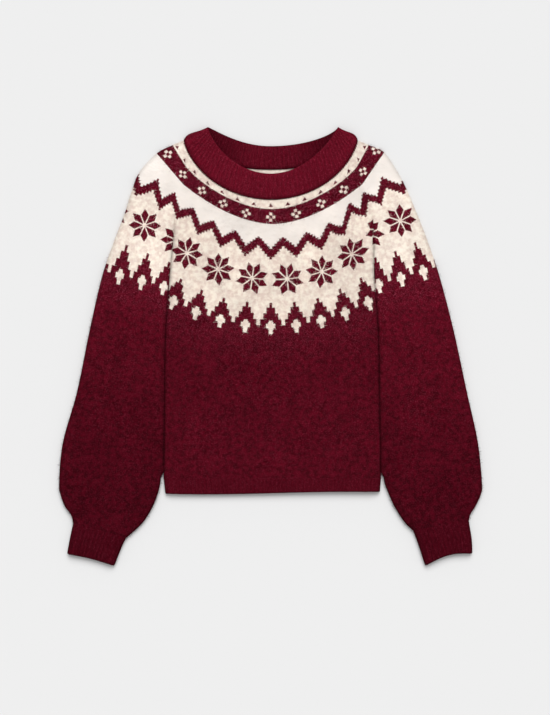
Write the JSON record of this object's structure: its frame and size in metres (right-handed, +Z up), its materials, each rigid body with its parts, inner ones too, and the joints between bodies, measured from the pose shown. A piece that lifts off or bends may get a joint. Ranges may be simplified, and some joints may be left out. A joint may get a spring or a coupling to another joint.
{
  "type": "fair isle jumper",
  "caption": "Jumper laid flat, knitted in burgundy wool with a patterned round yoke, doubled rib neckband, full sleeves gathered into ribbed cuffs and a ribbed hem.",
  "frame": {"origin": "on the surface the jumper lies on, in the middle of its outline", "axes": "+X to the right of the picture (the wearer's left), +Y towards the neck, +Z up from the surface, out of the front"},
  "size_m": [0.6359, 0.6593, 0.0098],
  "materials": {
    "knit": "brushed wool stocking stitch, burgundy with a cream yoke pattern",
    "rib": "one by one wool rib, burgundy"
  },
  "bodies": {
    "root": {"front": "knit", "back": "knit", "left_sleeve": "knit", "right_sleeve": "knit", "neckband": "rib", "hem_band": "rib", "left_cuff": "rib", "right_cuff": "rib"}
  },
  "joints": []
}
